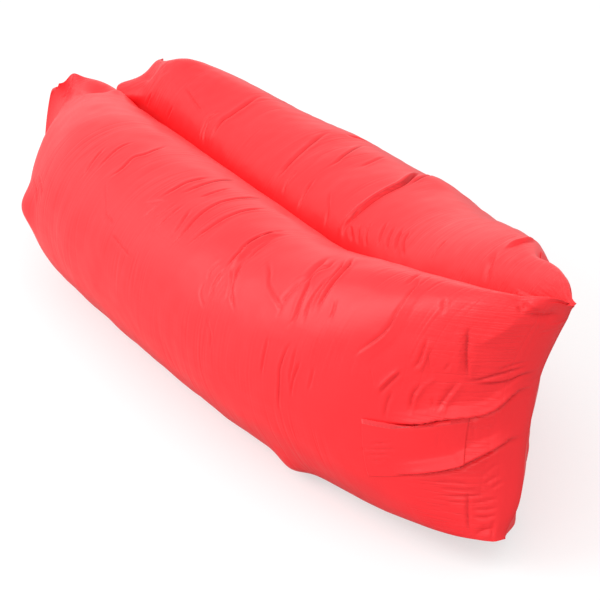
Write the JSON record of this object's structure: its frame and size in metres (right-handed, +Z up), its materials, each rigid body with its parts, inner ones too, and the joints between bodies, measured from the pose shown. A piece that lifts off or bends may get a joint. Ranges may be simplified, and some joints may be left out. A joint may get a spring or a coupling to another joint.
{
  "type": "inflatable air lounger",
  "caption": "Air-filled lounger of parallel fabric chambers joined along a centre seam, with a rolled mouth, a side-release buckle, a side pocket and a peg loop.",
  "frame": {"origin": "middle of the footprint box, on the floor", "axes": "+X from the sewn head end to the mouth end, +Y towards the rear chamber, which carries the roll and the buckle, +Z up"},
  "size_m": [2.2052, 0.9618, 0.6166],
  "materials": {
    "coated_fabric": "satin",
    "liner_film": "satin",
    "webbing": "matte",
    "buckle_plastic": "matte"
  },
  "bodies": {
    "lounger": {"front_chamber_shell": "coated_fabric", "rear_chamber_shell": "coated_fabric", "front_bladder": "liner_film", "rear_bladder": "liner_film", "centre_seam_tape": "webbing", "seam_end_web": "coated_fabric", "head_seam_binding_front": "webbing", "head_seam_binding_rear": "webbing", "peg_loop": "webbing", "side_pocket": "coated_fabric", "pocket_hem": "webbing", "mouth_collar": "coated_fabric", "mouth_roll": "coated_fabric", "stiffener_strip_inner": "buckle_plastic", "stiffener_strip_outer": "buckle_plastic", "roll_strap_upper": "webbing", "roll_strap_lower": "webbing", "buckle_socket": "buckle_plastic"},
    "plug": {"buckle_plug": "buckle_plastic"},
    "left_prong": {"prong_left": "buckle_plastic"},
    "right_prong": {"prong_right": "buckle_plastic"}
  },
  "joints": [
    {"name": "plug_release", "type": "slide", "parent": "lounger", "child": "plug", "axis": [-0.0447, 0.1369, 0.9896], "range_m": [0, 0.034], "deforming": ["roll_strap_upper", "prong_left", "prong_right"]},
    {"name": "prong_left_squeeze", "type": "hinge", "parent": "plug", "child": "left_prong", "pos_m": [0.79015, 0.25124, 0.31451], "axis": [-0.5837, -0.8075, 0.0853], "range_deg": [0, 8], "stiffness_Nm_per_rad": 1.8},
    {"name": "prong_right_squeeze", "type": "hinge", "parent": "plug", "child": "right_prong", "pos_m": [0.80863, 0.23816, 0.31715], "axis": [0.5837, 0.8075, -0.0853], "range_deg": [0, 8], "stiffness_Nm_per_rad": 1.8}
  ]
}
